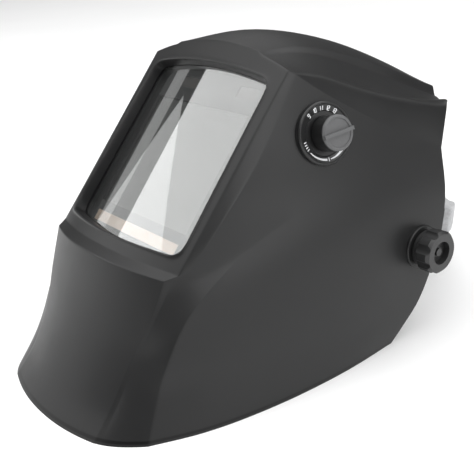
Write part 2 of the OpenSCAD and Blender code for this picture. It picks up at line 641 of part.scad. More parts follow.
// Solid with the outline of a whole oval ring
module ellipse_block(w, l, h) {
  translate([0, 0, -h / 2]) linear_extrude(h)
    polygon([for (k = [-180:4:176]) on_oval(w, l, k)]);
}
BAND_END = 19.5;                // how far behind the middle the side rails reach, in degrees
STUD_PLACES = [-6, 7];
function on_band(a) = on_oval(band_half_w, band_half_l, a);
// Holes through the band for the crown strap studs
module strap_holes(r) {
  for (s = [1, -1]) for (a = STUD_PLACES) translate([0, on_band(a)[1], 0]) rotate([0, s * 90, 0])
    disc(r, band_half_w - 16, band_half_w + 6);
}
// Front and sides of the headband
module headband() {
  color(black) placed() difference() {
    at_band() oval(band_half_w, band_half_l, band_t, band_h, -180 - BAND_END, BAND_END, 72);
    at_band() strap_holes(2.05);
    for (side = [1, -1]) at_pivot(side) translate(ARM_END) disc(2.55, 60, 110);
  }
}
// Rivets through the arms and the headband
module arm_rivets() {
  color("silver") placed() for (side = [1, -1]) at_pivot(side) translate(ARM_END) {
    disc(2.5, 72, ARM_OUT - 0.6);
    disc(4.5, ARM_OUT - 2.15, ARM_OUT - 0.2);
    disc(4.5, 71, 73.4);
  }
}
// Hoop over the head, from side to side, in a plane across the band; straight feet
function nearest(y, half) = max(0, abs(y) - half);
function band_x(y) = band_half_w * pow(1 - pow(abs(y) / band_half_l, SQUARENESS), 1 / SQUARENESS);
module crown_hoop(a, width, rise, t) {
  y = on_band(a)[1];
  w = band_x(nearest(y, width / 2)) + t + 0.15;
  hoop = concat([[w, -9]], [for (k = [0:5:180]) [w * cos(k), 11 + (rise - 11) * sin(k)]],
                [[-w, -9], [t - w, -9]],
                [for (k = [180:-5:0]) [(w - t) * cos(k), 11 + (rise - 11 - t) * sin(k)]], [[w - t, -9]]);
  color(black) placed() at_band() difference() {
    translate([0, y + width / 2, 0]) rotate([90, 0, 0]) linear_extrude(width) polygon(hoop);
    strap_holes(2.05);
  }
}
HOOP_T = 2;
HOOP_HALF = [8, 7];
FRONT_RISE = 106;
REAR_RISE = 98;
module crown_strap_front() { crown_hoop(STUD_PLACES[0], 2 * HOOP_HALF[0], FRONT_RISE, HOOP_T); }
module crown_strap_rear() { crown_hoop(STUD_PLACES[1], 2 * HOOP_HALF[1], REAR_RISE, HOOP_T); }
// Link between the two hoops at the top of the head
module crown_bridge() {
  y0 = on_band(STUD_PLACES[0])[1] + 8.3;
  y1 = on_band(STUD_PLACES[1])[1] - 7.3;
  color(black) placed() at_band() translate([0, (y0 + y1) / 2, (FRONT_RISE + REAR_RISE) / 2 - 1.6])
    rotate([-10, 0, 0]) cube([22, y1 - y0, 2], center = true);
}
// Studs that fix the hoops to the headband
module strap_studs() {
  color("dimgray") placed() at_band() for (s = [1, -1]) for (a = STUD_PLACES)
    translate([0, on_band(a)[1], 0]) rotate([0, s * 90, 0]) {
      face = band_x(nearest(on_band(a)[1], HOOP_HALF[a == STUD_PLACES[0] ? 0 : 1])) + HOOP_T + 0.2;
      disc(2, on_band(a)[0] - 1.4, face + 0.5);
      disc(4, face, face + 1.6);
    }
}
// Cushioned sweatband inside the forehead
module sweatband() {
  color("black") placed() at_band()
    oval(band_half_w - band_t - 0.2, band_half_l - band_t - 0.2, 6, 34, -146, -34, 48);
}
CRADLE_GAP = 0.6;
// Rear cradle: side rails that slide inside the headband and a deep curved back
module rear_cradle() {
  w = band_half_w - band_t - CRADLE_GAP;
  l = band_half_l - band_t - CRADLE_GAP;
  color(black) placed() at_band() difference() {
    union() {
      oval(w, l, 2, 15, 8, 172, 64);
      translate([0, 0, -14]) oval(w, l, 2, 14, 50, 130, 32);
    }
    rotate([-90, 0, 0]) for (s = [1, -1]) translate([s * HOUSE_SCREW, 0, 0])
      disc(SCREW_R + 0.02, l - 16, l + 4);
  }
}
// Soft pad over the inside and the upper corners of the cradle
module rear_pad() {
  w = band_half_w - band_t - CRADLE_GAP;
  l = band_half_l - band_t - CRADLE_GAP;
  color("gainsboro") placed() at_band() {
    translate([0, 0, -3]) oval(w - 2.1, l - 2.1, 7, 30, 28, 152, 60);
    for (side = [0, 1]) mirror([side, 0, 0]) {
      translate([0, 0, -2]) oval(w + 5, l + 5, 4.9, 21, 29, 47, 16);
      translate([0, 0, 8.8]) oval(w + 4.8, l + 4.8, 13.3, 2.2, 29.5, 46.5, 16);
    }
  }
}
// Housing of the ratchet, behind the cradle
HOUSE_FRONT = band_half_l - band_t - CRADLE_GAP;
HOUSE_BACK = HOUSE_FRONT + 9;
PINION_R = 5;
HOUSE_SCREW = 24;
module ratchet_housing() {
  color(black) placed() at_band() difference() {
    rotate([-90, 0, 0]) difference() {
      plate(62, 26, 9, HOUSE_FRONT - 9, HOUSE_BACK);
      disc(10, HOUSE_FRONT - 9, HOUSE_BACK - 2);
      disc(3.05, HOUSE_FRONT, HOUSE_BACK + 1);
      for (s = [1, -1]) translate([s * HOUSE_SCREW, 0, 0]) {
        disc(SCREW_R + 0.02, HOUSE_FRONT - 10, HOUSE_BACK + 1);
        disc(3.1, HOUSE_BACK - 2.6, HOUSE_BACK + 1);
      }
    }
    ellipse_block(band_half_w - band_t - CRADLE_GAP + 0.1, HOUSE_FRONT + 0.1, 60);
  }
}
// Screws that hold the housing to the cradle
module housing_screws() {
  color("silver") placed() at_band() rotate([-90, 0, 0]) for (s = [1, -1])
    translate([s * HOUSE_SCREW, 0, 0]) {
      disc(SCREW_R, HOUSE_FRONT - 4.4, HOUSE_BACK - 2);
      disc(2.9, HOUSE_BACK - 2.55, HOUSE_BACK - 0.6);
    }
}
TEETH = 10;
// Toothed pinion on the knob's shaft
module ratchet_pinion() {
  color("silver") placed() at_band() rotate([-90, 0, 0]) {
    disc(PINION_R - 1.2, HOUSE_FRONT + 1, HOUSE_BACK - 2.6);
    for (k = [0:TEETH - 1]) rotate(k * 360 / TEETH) translate([PINION_R - 1.4, 0, HOUSE_FRONT + 3.6])
      cube([2.6, 1.5, 4.4], center = true);
    disc(3, HOUSE_BACK - 2.7, HOUSE_BACK + 3.9);
  }
}
// Hand wheel at the back of the head
module ratchet_knob() {
  color(black) placed() at_band() rotate([-90, 0, 0]) difference() {
    rotate_extrude($fn = 96) polygon([[0, HOUSE_BACK + 0.4], [17, HOUSE_BACK + 0.4], [18, HOUSE_BACK + 1.4],
                                      [18, HOUSE_BACK + 9], [16.4, HOUSE_BACK + 11], [0, HOUSE_BACK + 11]]);
    for (k = [0:11]) rotate(k * 30) translate([19.4, 0, HOUSE_BACK]) rod(2.6, 14);
    disc(11, HOUSE_BACK + 9, HOUSE_BACK + 12);
    disc(3.02, HOUSE_BACK - 1, HOUSE_BACK + 4);
  }
}

shell();
cover_lens();
lens_gasket();
lens_holder();
holder_screws();
filter_housing();
filter_glass();
filter_back();
solar_panel();
arc_sensors();
circuit_board();
inner_lens();
retainer_springs();
spring_screws();
sensitivity_knob();
delay_knob();
test_button();
battery_tray();
battery_cell();
dial_plate();
shade_pot();
pot_nut();
shade_shaft();
shade_knob();
pivot_bushing_left();
pivot_bushing_right();
friction_washer_left();
friction_washer_right();
pivot_stud_left();
pivot_stud_right();
tension_knob_left();
tension_knob_right();
knob_insert_left();
knob_insert_right();
pivot_arm_left();
pivot_arm_right();
angle_plate_left();
angle_plate_right();
headband();
arm_rivets();
crown_strap_front();
crown_strap_rear();
crown_bridge();
strap_studs();
sweatband();
rear_cradle();
rear_pad();
ratchet_housing();
housing_screws();
ratchet_pinion();
ratchet_knob();
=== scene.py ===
"""Looks of the welding helmet: photo-angle camera, studio, moulded shell and soft parts."""

import math

import bmesh
import bpy
import numpy as np
from mathutils import Matrix, Vector


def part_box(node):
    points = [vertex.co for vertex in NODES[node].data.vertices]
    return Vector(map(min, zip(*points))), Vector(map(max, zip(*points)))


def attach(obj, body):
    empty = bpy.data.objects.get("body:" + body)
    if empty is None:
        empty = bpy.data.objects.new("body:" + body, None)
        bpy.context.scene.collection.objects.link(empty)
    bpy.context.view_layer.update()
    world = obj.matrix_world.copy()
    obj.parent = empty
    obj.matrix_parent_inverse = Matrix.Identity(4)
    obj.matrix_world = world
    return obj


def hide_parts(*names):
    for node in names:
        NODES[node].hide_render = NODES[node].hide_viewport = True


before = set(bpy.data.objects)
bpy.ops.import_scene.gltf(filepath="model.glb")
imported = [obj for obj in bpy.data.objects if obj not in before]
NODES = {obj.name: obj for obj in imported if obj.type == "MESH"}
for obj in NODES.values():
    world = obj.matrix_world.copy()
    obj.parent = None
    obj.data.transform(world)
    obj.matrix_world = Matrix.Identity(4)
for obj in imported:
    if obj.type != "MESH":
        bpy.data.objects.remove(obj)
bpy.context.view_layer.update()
MM = 0.001
Y_SHIFT = -21.5  # y, in mm, of the origin that the shell, window, pivot and dial are drawn from

scene = bpy.context.scene


# ---------------------------------------------------------------- camera
SENSOR = 36  # width, mm
FOCAL_TO_WIDTH = 785 / 474  # focal length over picture width, from the perspective fit
EYE = (420.9, -319.0 + Y_SHIFT, 287.1)  # mm


def make_camera():
    right = Vector((0.6264, 0.7761, -0.0734))
    up = Vector((-0.2571, 0.2945, 0.9204))
    back = Vector((0.7359, -0.5576, 0.384))
    m = Matrix((right, up, back)).transposed().to_4x4()
    m.translation = Vector(EYE) * MM
    data = bpy.data.cameras.new("camera")
    data.sensor_width = SENSOR
    data.lens = FOCAL_TO_WIDTH * SENSOR
    data.clip_start = 0.01
    data.clip_end = 50
    cam = bpy.data.objects.new("camera", data)
    scene.collection.objects.link(cam)
    cam.matrix_world = m
    scene.camera = cam


make_camera()


# ---------------------------------------------------------------- materials
GRAIN_HEIGHT = 0.0002  # m
MIX_A, MIX_B, MIX_RESULT = 6, 7, 2  # the colour sockets of a Mix node


class Nodes:
    """Small helper that adds and links shader nodes."""

    def __init__(self, name):
        self.mat = bpy.data.materials.new(name)
        self.mat.use_nodes = True
        self.tree = self.mat.node_tree
        self.shader = self.tree.nodes["Principled BSDF"]
        self.coords = self.add("ShaderNodeTexCoord").outputs["Object"]

    def add(self, kind, **settings):
        node = self.tree.nodes.new(kind)
        for key, value in settings.items():
            setattr(node, key, value)
        return node

    def link(self, a, b):
        self.tree.links.new(a, b)

    def set(self, **values):
        for key, value in values.items():
            self.shader.inputs[key.replace("_", " ")].default_value = value
        return self

    def noise(self, scale, detail=3.0, roughness=0.5, stretch=None):
        node = self.add("ShaderNodeTexNoise")
        node.inputs["Scale"].default_value = scale
        node.inputs["Detail"].default_value = detail
        node.inputs["Roughness"].default_value = roughness
        source = self.coords
        if stretch:
            mapping = self.add("ShaderNodeMapping")
            mapping.inputs["Scale"].default_value = stretch
            self.link(source, mapping.inputs["Vector"])
            source = mapping.outputs["Vector"]
        self.link(source, node.inputs["Vector"])
        return node.outputs["Fac"]

    def ramp(self, source, stops):
        node = self.add("ShaderNodeValToRGB")
        while len(node.color_ramp.elements) < len(stops):
            node.color_ramp.elements.new(0.5)
        for element, (at, colour) in zip(node.color_ramp.elements, stops):
            element.position = at
            element.color = (*colour, 1)
        self.link(source, node.inputs["Fac"])
        return node.outputs["Color"]

    def bump(self, height, strength, distance=GRAIN_HEIGHT):
        node = self.add("ShaderNodeBump")
        node.inputs["Strength"].default_value = strength
        node.inputs["Distance"].default_value = distance
        self.link(height, node.inputs["Height"])
        self.link(node.outputs["Normal"], self.shader.inputs["Normal"])
        return self

    def colour(self, socket):
        self.link(socket, self.shader.inputs["Base Color"])
        return self

    def rough(self, source, low, high):
        node = self.add("ShaderNodeMapRange")
        node.inputs["To Min"].default_value = low
        node.inputs["To Max"].default_value = high
        self.link(source, node.inputs["Value"])
        self.link(node.outputs["Result"], self.shader.inputs["Roughness"])
        return self

    def uneven_gloss(self, low, high):
        return self.rough(self.noise(60, 4, 0.6), low, high)

    def shade_drift(self, low, high):
        """Two colours that change slowly into each other over the piece."""
        return self.ramp(self.noise(14, 2), [(0.3, low), (0.7, high)])


def grey(v):
    return (v, v * 1.01, v * 1.03)


def plastic(name, base, rough, grain, depth, tint=grey):
    """Moulded plastic: fine grain, slight shade drift and uneven gloss."""
    n = Nodes(name)
    n.colour(n.shade_drift(tint(base * 0.88), tint(base * 1.12)))
    n.uneven_gloss(rough - 0.06, rough + 0.06)
    n.set(Specular_IOR_Level=0.5)
    return n.bump(n.noise(grain, 2), depth).mat


DIAL_AXIS = (0.9649, -0.1356, 0.2250)
HIGHLIGHT_DEPTH, HIGHLIGHT_EDGE = 0.0030, 0.0004  # m: how deep the painted highlight on the shade knob's outer face reaches, and its soft edge


def knob_painted_highlight(name, node, axis, depth):
    """Grained knob whose outer face, within depth of its top along the axis, is painted lighter than its
    side: a painted highlight of the lit face.
    """
    obj = NODES[node]
    along = (obj.matrix_world.to_3x3().inverted() @ Vector(axis)).normalized()
    top = max(v.co.dot(along) for v in obj.data.vertices)
    n = Nodes(name)
    dot = n.add("ShaderNodeVectorMath", operation="DOT_PRODUCT")
    n.link(n.coords, dot.inputs[0])
    dot.inputs[1].default_value = along
    where = n.add("ShaderNodeMapRange")
    where.inputs["From Min"].default_value = top - depth - HIGHLIGHT_EDGE
    where.inputs["From Max"].default_value = top - depth
    n.link(dot.outputs["Value"], where.inputs["Value"])
    # painted highlight: the outer face light grey, the side near black
    n.colour(n.ramp(where.outputs["Result"], [(0.0, grey(0.006)), (1.0, grey(0.11))]))
    n.uneven_gloss(0.38, 0.5)
    n.set(Specular_IOR_Level=0.35)
    return n.bump(n.noise(1300, 2), 0.25).mat


def rgb(r, g, b):
    return lambda k: (r * k, g * k, b * k)


def metal(name, colour, rough=0.28, stretch=(1, 1, 1)):
    n = Nodes(name)
    streak = n.noise(260, 3, 0.6, stretch)
    n.colour(n.ramp(streak, [(0.3, [c * 0.86 for c in colour]), (0.7, [min(1, c * 1.08) for c in colour])]))
    n.set(Metallic=1.0)
    n.rough(streak, rough - 0.03, rough + 0.04)
    return n.bump(streak, 0.08).mat


def glass_clear(name, tint, rough, ior):
    """Clear sheet with faint smudges. An index above the real plastic's strengthens its reflections."""
    n = Nodes(name)
    smudge = n.noise(26, 3, 0.6)
    n.colour(n.ramp(smudge, [(0.4, tint), (0.75, [c * 0.94 for c in tint])]))
    n.set(Transmission_Weight=1.0, IOR=ior)
    n.rough(smudge, rough * 0.5, rough)
    return n.mat


def fabric(name, base, weave):
    n = Nodes(name)
    fuzz = n.noise(520, 4, 0.7)
    n.colour(n.ramp(fuzz, [(0.3, grey(base * 0.78)), (0.72, grey(base * 1.12))]))
    n.set(Roughness=0.95, Sheen_Weight=0.35, Specular_IOR_Level=0.2)
    return n.bump(n.noise(weave, 3, 0.7), 0.6, 0.0006).mat


RIM_SHADE_BAND = 0.01  # m above the floor that holds the rim's painted shade and highlight; the stops of the rim's colours are fractions of it


def shell_plastic_rim_shade():
    """Satin black plastic, with a blacker line of painted shade for the groove just above the cut edge of the
    rim, and a faintly lighter painted highlight on the lip below it.
    """
    n = Nodes("shell_satin_rim_shade")
    parts = n.add("ShaderNodeSeparateXYZ")
    n.link(n.coords, parts.inputs["Vector"])
    up = n.add("ShaderNodeMapRange")
    up.inputs["From Max"].default_value = RIM_SHADE_BAND
    n.link(parts.outputs["Z"], up.inputs["Value"])
    # painted light along the rim: the near-black line is painted shade of the groove, the faintly lighter
    # edge under it a painted highlight on the lip
    edge, groove_shade, wall = grey(0.016), grey(0.002), grey(0.014)
    rim = n.ramp(up.outputs["Result"], [(0.0, edge), (0.11, edge), (0.15, groove_shade), (0.26, groove_shade), (0.32, wall)])
    mix = n.add("ShaderNodeMix", data_type="RGBA", blend_type="MULTIPLY")
    mix.inputs["Factor"].default_value = 1.0
    n.link(rim, mix.inputs[MIX_A])
    n.link(n.shade_drift((0.93, 0.93, 0.93), (1.0, 1.0, 1.0)), mix.inputs[MIX_B])
    n.colour(mix.outputs[MIX_RESULT])
    n.uneven_gloss(0.36, 0.45)
    n.set(Specular_IOR_Level=0.36)
    return n.bump(n.noise(1500, 2), 0.1).mat


M = {
    "shell": shell_plastic_rim_shade(),
    "black": plastic("black_matte", 0.018, 0.5, 1100, 0.2),
    "soft_black": plastic("rubber_black", 0.012, 0.62, 700, 0.25),
    "satin_black": plastic("black_satin", 0.014, 0.34, 900, 0.1),
    "knob": plastic("knob_grain", 0.022, 0.42, 1300, 0.25),
    "grey": plastic("grey_grain", 0.14, 0.45, 1200, 0.2),
    "natural": plastic("acetal_natural", 0.62, 0.35, 700, 0.1),
    "red": plastic("button_red", 0.35, 0.25, 600, 0.05, tint=rgb(1, 0.1, 0.08)),
    "sensor": plastic("sensor_brown", 0.05, 0.2, 500, 0.05, tint=rgb(1, 0.55, 0.4)),
    "white": plastic("ink_white", 0.75, 0.5, 900, 0.05),
    "board": plastic("board_green", 0.12, 0.3, 500, 0.2, tint=rgb(0.25, 1, 0.4)),
    "steel": metal("steel_plated", (0.62, 0.62, 0.64)),
    "brass": metal("brass_turned", (0.75, 0.55, 0.24), 0.3, (1, 1, 8)),
    "lens": glass_clear("lens_clear", (0.95, 0.975, 0.965), 0.02, 2.3),
    "sweatband": fabric("sweatband_terry", 0.035, 1800),
    "pad": fabric("pad_brushed", 0.50, 2400),
}


def filter_material():
    n = Nodes("filter_mirror")
    cloud = n.noise(9, 2, 0.5)
    n.colour(n.ramp(cloud, [(0.3, (0.07, 0.07, 0.068)), (0.7, (0.10, 0.10, 0.097))]))
    n.set(Metallic=0.9)
    n.rough(cloud, 0.22, 0.30)
    return n.mat


def solar_material():
    n = Nodes("solar_cells")
    cells = n.noise(420, 3, 0.6, (1, 12, 12))
    n.colour(n.ramp(cells, [(0.3, (0.60, 0.40, 0.28)), (0.7, (0.78, 0.58, 0.43))]))
    n.set(Metallic=0.35, Coat_Weight=1.0)
    n.rough(cells, 0.25, 0.4)
    return n.mat


M["filter"] = filter_material()
M["solar"] = solar_material()


def dress(material, *names):
    for name in names:
        mesh = NODES[name].data
        mesh.materials.clear()
        mesh.materials.append(M[material])


dress("black", "lens_holder", "filter_housing", "filter_back")
dress("soft_black", "lens_gasket", "friction_washer_left", "friction_washer_right")
dress("steel", "holder_screws", "spring_screws", "retainer_springs", "battery_cell", "shade_pot")
dress("steel", "pot_nut", "shade_shaft", "arm_rivets", "housing_screws")
dress("filter", "filter_glass")
dress("solar", "solar_panel")
dress("board", "circuit_board")
dress("lens", "cover_lens", "inner_lens")
dress("grey", "sensitivity_knob", "delay_knob", "battery_tray")
dress("red", "test_button")
dress("sensor", "arc_sensors")
dress("satin_black", "dial_plate", "pivot_bushing_left", "pivot_bushing_right")
dress("satin_black", "angle_plate_left", "angle_plate_right", "headband", "rear_cradle")
dress("satin_black", "pivot_arm_left", "pivot_arm_right", "crown_strap_front", "crown_strap_rear")
dress("satin_black", "crown_bridge", "strap_studs", "ratchet_housing")
# the shade knob's outer face carries a painted highlight
M["knob_face_highlight"] = knob_painted_highlight("knob_painted_highlight", "shade_knob", DIAL_AXIS, HIGHLIGHT_DEPTH)
dress("knob_face_highlight", "shade_knob")
dress("knob", "tension_knob_left", "tension_knob_right", "ratchet_knob")
dress("knob", "pivot_stud_left", "pivot_stud_right")
dress("brass", "knob_insert_left", "knob_insert_right")
dress("natural", "ratchet_pinion")


# ---------------------------------------------------------------- mesh helpers
def plain_object(name, points, faces, material):
    mesh = bpy.data.meshes.new(name)
    mesh.from_pydata([tuple(p) for p in points], [], [tuple(f) for f in faces])
    mesh.validate()
    mesh.materials.append(material)
    obj = bpy.data.objects.new(name, mesh)
    scene.collection.objects.link(obj)
    return obj


def helmet_piece(name, points, faces, material):
    """Extra piece of the helmet body."""
    obj = plain_object(name, points, faces, M[material])
    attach(obj, "helmet")
    tidy_normals(obj)
    return obj


def tidy_normals(obj):
    bm = bmesh.new()
    bm.from_mesh(obj.data)
    bmesh.ops.recalc_face_normals(bm, faces=bm.faces)
    bm.to_mesh(obj.data)
    bm.free()


def shade(obj, angle):
    """Smooth shading, with edges that fold by more than the angle kept sharp."""
    bm = bmesh.new()
    bm.from_mesh(obj.data)
    limit = math.radians(angle)
    for face in bm.faces:
        face.smooth = True
    for edge in bm.edges:
        edge.smooth = len(edge.link_faces) == 2 and edge.calc_face_angle(0) < limit
    bm.to_mesh(obj.data)
    bm.free()


def applied(obj):
    """Replaces the object's mesh by what its modifiers make of it."""
    bpy.context.view_layer.update()
    graph = bpy.context.evaluated_depsgraph_get()
    mesh = bpy.data.meshes.new_from_object(obj.evaluated_get(graph))
    obj.modifiers.clear()
    obj.data = mesh


# ---------------------------------------------------------------- shell surface
# Control rows in millimetres: centre (y, z), then front crease, chamfer edge, flank middle
# and cheek crease or rear edge. They repeat the shell's own CAD rows.
ROWS = [
    [(-169, 0), (54, -160.5, 0), (58, -158.5, 0), (69, -150.5, 0), (80, -138.5, 0)],
    [(-155, 18), (52.8, -144.5, 18), (56, -142.5, 18.2), (65, -137, 20), (76, -126, 24)],
    [(-140, 42), (55.2, -129.6, 42), (58, -127.8, 42.2), (66, -123, 43), (76.5, -117, 43.5)],
    [(-128, 68), (62.7, -116.5, 68), (64.8, -115, 67.5), (70, -112, 65), (77.5, -105.5, 62)],
    [(-118, 95), (66.4, -105.8, 91.7), (68.8, -101.8, 90.5), (73, -97, 85), (79.5, -91, 77.5)],
    [(-110.5, 98.5), (70.4, -98.2, 93.7), (72.8, -92, 95), (76.5, -83, 93), (82, -68, 93.5)],
    [(-84, 125.5), (70.5, -74.7, 119.6), (75.5, -68.5, 119), (79, -58, 115), (85.5, -42, 106)],
    [(-57, 153), (70.6, -51.6, 145.3), (75.5, -42, 144.8), (81, -27, 134), (90, -7, 117.5)],
    [(-29.5, 181), (70.7, -28.6, 170.9), (73.7, -19, 171.5), (82.5, 3, 153), (94.5, 36, 125)],
    [(-3, 209), (70.8, -5.6, 196.5), (72.8, -2, 194.3), (85, 40, 164), (99.8, 104, 128)],
    [(35, 210.5), (73.2, 25, 188), (75, 27.5, 186), (86.5, 64, 164.5), (98.2, 108, 138)],
    [(84, 198), (75.6, 58, 174.5), (77.3, 60, 173), (88, 88, 161.5), (96, 112.5, 146)],
    [(130, 177.5), (80.5, 90, 163), (82, 91.5, 162.2), (89, 106, 157.5), (93.5, 117, 152.5)],
    [(170, 153.5), (78, 129, 153.5), (79.5, 128.3, 153.8), (85.5, 125, 155.5), (91, 120.5, 156.3)],
]
LEDGE, FRAME, BROW, LAST = 4, 5, 9, 13
COLUMNS = [np.array([(0, *r[0]) if k == 0 else r[k] for r in ROWS], float) for k in range(5)]
RIM = np.array([(80, -138.5, 0), (92, -109, 0), (99.5, -78, 0), (104.5, -39, 0), (106, 5, 0),
                (103.5, 49, 0)], float)
REAR = np.array([(103.5, 49, 0), (106, 59.5, 12), (107.5, 72, 25), (108.3, 83, 43), (108.3, 94, 66),
                 (106.5, 101, 97), (99.8, 104, 128)], float)
# The crown's raised panel: its edge and the width of its wall as fractions of the half-width, how much the
# edge moves out towards the rear, and its height at the brow and at the rear in mm.
PANEL_EDGE, PANEL_WALL, PANEL_SPREAD = 0.58, 0.08, 0.13
STEP_START, CROWN_STEP = 1, 6.5
FRONT_POWER = 2.1  # how late the front curves back towards its creases
CHEEK_BULGE = 3.0


def through(p, t):
    """Catmull-Rom curve through the points p at parameter t, counted in points."""
    n = len(p)
    i = min(max(int(math.floor(t)), 0), n - 2)
    f = t - i
    b, c = p[i], p[i + 1]
    a = p[i - 1] if i > 0 else 2 * b - c
    d = p[i + 2] if i + 2 < n else 2 * c - b
    return (2 * b + (c - a) * f + (2 * a - 5 * b + 4 * c - d) * f**2 + (3 * b - a - 3 * c + d) * f**3) / 2


SAME_LEVEL = 1e-9


def column(k, t):
    """Point of column k at level t, with sharp corners at the creases."""
    stops = (0, LEDGE, FRAME, BROW, LAST) if k < 3 else (0, BROW, LAST)
    i = max(j for j in range(len(stops) - 1) if t >= stops[j] - SAME_LEVEL)
    return through(COLUMNS[k][stops[i] : stops[i + 1] + 1], t - stops[i])


def panel_edge(t):
    return PANEL_EDGE + PANEL_SPREAD * max(0, (t - BROW) / (LAST - BROW))


def front(t, u, step=True):
    """Front, frame and crown surface at level t and half-width fraction u from -1 to 1.

    With step, the middle of the crown stands above the rest as a panel."""
    c, e, a = column(0, t), column(1, t), abs(u)
    g = a**FRONT_POWER
    h = STEP_START + (CROWN_STEP - STEP_START) * (t - BROW) / (LAST - BROW) if step and t >= BROW else 0
    part = min(max((panel_edge(t) + PANEL_WALL - a) / PANEL_WALL, 0), 1)
    part = part * part * (3 - 2 * part)
    return np.array([u * e[0], c[1] + (e[1] - c[1]) * g, c[2] - h + (e[2] - c[2] + h) * g + h * part])


def side(t, v):
    """Side surface: v = -1 at the front crease, 0 at the chamfer edge, 1 at the cheek crease."""
    g = column(2, t)
    if v < 0:
        return g + (column(1, t) - g) * -v
    m, k = column(3, t), column(4, t)
    q = 2 * m - (g + k) / 2
    return (1 - v) ** 2 * g + 2 * v * (1 - v) * q + v * v * k


def cheek(u, w):
    """Cheek panel: u from the front to the notch, w from the rim to the cheek crease."""
    low, top = column(4, w * LEDGE), column(4, LEDGE + u * (BROW - LEDGE))
    rim, rear = through(RIM, u * (len(RIM) - 1)), through(REAR, w * (len(REAR) - 1))
    a, b, c, d = RIM[0], REAR[0], COLUMNS[4][BROW], COLUMNS[4][LEDGE]
    p = (1 - w) * rim + w * top + (1 - u) * low + u * rear
    p = p - ((1 - u) * (1 - w) * a + u * (1 - w) * b + u * w * c + (1 - u) * w * d)
    return p + np.array([CHEEK_BULGE * math.sin(math.pi * u) * math.sin(math.pi * w), 0, 0])


def spread(a, b, fine_a, fine_b, steps):
    """Levels from a to b: even steps, with extra ones close to each end, without b."""
    inner = [a + (b - a) * k / steps for k in range(1, steps)]
    values = [a, *[a + f for f in fine_a], *inner, *[b - f for f in fine_b]]
    return sorted(set(round(v, 6) for v in values))


CLOSE = [0.011, 0.026, 0.05, 0.1]
LOW = spread(0, LEDGE, [0.05, 0.09, 0.12, 0.16], [0.02, 0.045, 0.09], 22)
LIP = spread(LEDGE, FRAME, [0.05, 0.13], [0.05, 0.13], 5)
WINDOW_ROWS = spread(FRAME, BROW, CLOSE, CLOSE, 26)
CROWN_ROWS = spread(BROW, LAST, CLOSE, [0.012, 0.03], 26) + [LAST]
LEVELS = LOW + LIP + WINDOW_ROWS + CROWN_ROWS


def half_widths(t):
    p = panel_edge(t)
    q = p + PANEL_WALL
    inner = [p * k for k in (0, 0.1, 0.2, 0.3, 0.4, 0.5, 0.6, 0.7, 0.8, 0.88, 0.94, 0.975)]
    wall = [p + PANEL_WALL * k for k in (0, 0.12, 0.3, 0.5, 0.7, 0.88)]
    outer = [q + (1 - q) * k for k in (0, 0.05, 0.14, 0.28, 0.44, 0.6, 0.74, 0.85, 0.92, 0.96, 0.985, 1)]
    return inner + wall + outer


def widths(t):
    half = half_widths(t)
    return [-u for u in half[:0:-1]] + half


SIDE_STEPS = [-1, -0.8, -0.5, -0.2, 0, 0.02, 0.05, 0.1, 0.17, 0.25, 0.34, 0.43, 0.52, 0.61, 0.7, 0.79, 0.87,
              0.93, 0.965, 0.985, 1]


WINDOW_LEAN = math.radians(41.7)
ORIGIN = np.array([0, -53.0, 146.5])  # middle of the window, in mm
UP = np.array([0, math.sin(WINDOW_LEAN), math.cos(WINDOW_LEAN)])
OUT = np.array([0, -math.cos(WINDOW_LEAN), math.sin(WINDOW_LEAN)])


def to_window(p):
    q = np.asarray(p) - ORIGIN
    return q[0], float(q @ UP), float(q @ OUT)


def from_window(x, v, n):
    return ORIGIN + np.array([x, 0, 0]) + v * UP + n * OUT


HALVINGS = 30


def height_at(x, v):
    """How far the frame surface stands out of the window plane at (x, v)."""
    low, high = FRAME - 0.6, BROW + 0.4  # a little past the frame at both ends

    def point(t):
        level = min(max(t, FRAME), BROW - 1e-6)
        u = max(-1, min(1, x / column(1, level)[0]))
        return to_window(front(level, u, False))

    for _ in range(HALVINGS):
        t = (low + high) / 2
        if point(t)[1] < v:
            low = t
        else:
            high = t
    return point((low + high) / 2)[2]


# The opening: half its width at the top and bottom, half its height, how far its top and bottom edges bow
# outwards and the radius of its corners, in mm; then the steps of a corner and of a bowed edge.
HALF_TOP, HALF_BOTTOM, HALF_HEIGHT, BOW_TOP, BOW_BOTTOM, CORNER = 62, 64.5, 61, 3, 4, 9
CORNER_STEPS, BOW_STEPS = 24, 59


def outline(grow=0.0):
    """Closed outline of the opening, anticlockwise from the left end of its bottom edge."""
    r, h, t, b = CORNER + grow, HALF_HEIGHT + grow, HALF_TOP + grow, HALF_BOTTOM + grow
    parts = []

    def arc(x, y, a0, a1):
        for k in range(CORNER_STEPS + 1):
            a = math.radians(a0 + (a1 - a0) * k / CORNER_STEPS)
            parts.append((x + r * math.cos(a), y + r * math.sin(a)))

    def bowed(w, y, bow, sign):
        x = w - r
        parts.extend((sign * x * s, y + bow * (1 - s * s)) for s in np.linspace(-1, 1, BOW_STEPS + 1)[1:-1])

    bowed(b, -h, -BOW_BOTTOM, 1)
    arc(b - r, r - h, -75, 0)
    arc(t - r, h - r, 0, 75)
    bowed(t, h, BOW_TOP, -1)
    arc(r - t, h - r, 105, 180)
    arc(r - b, r - h, 180, 255)
    return np.array(parts)


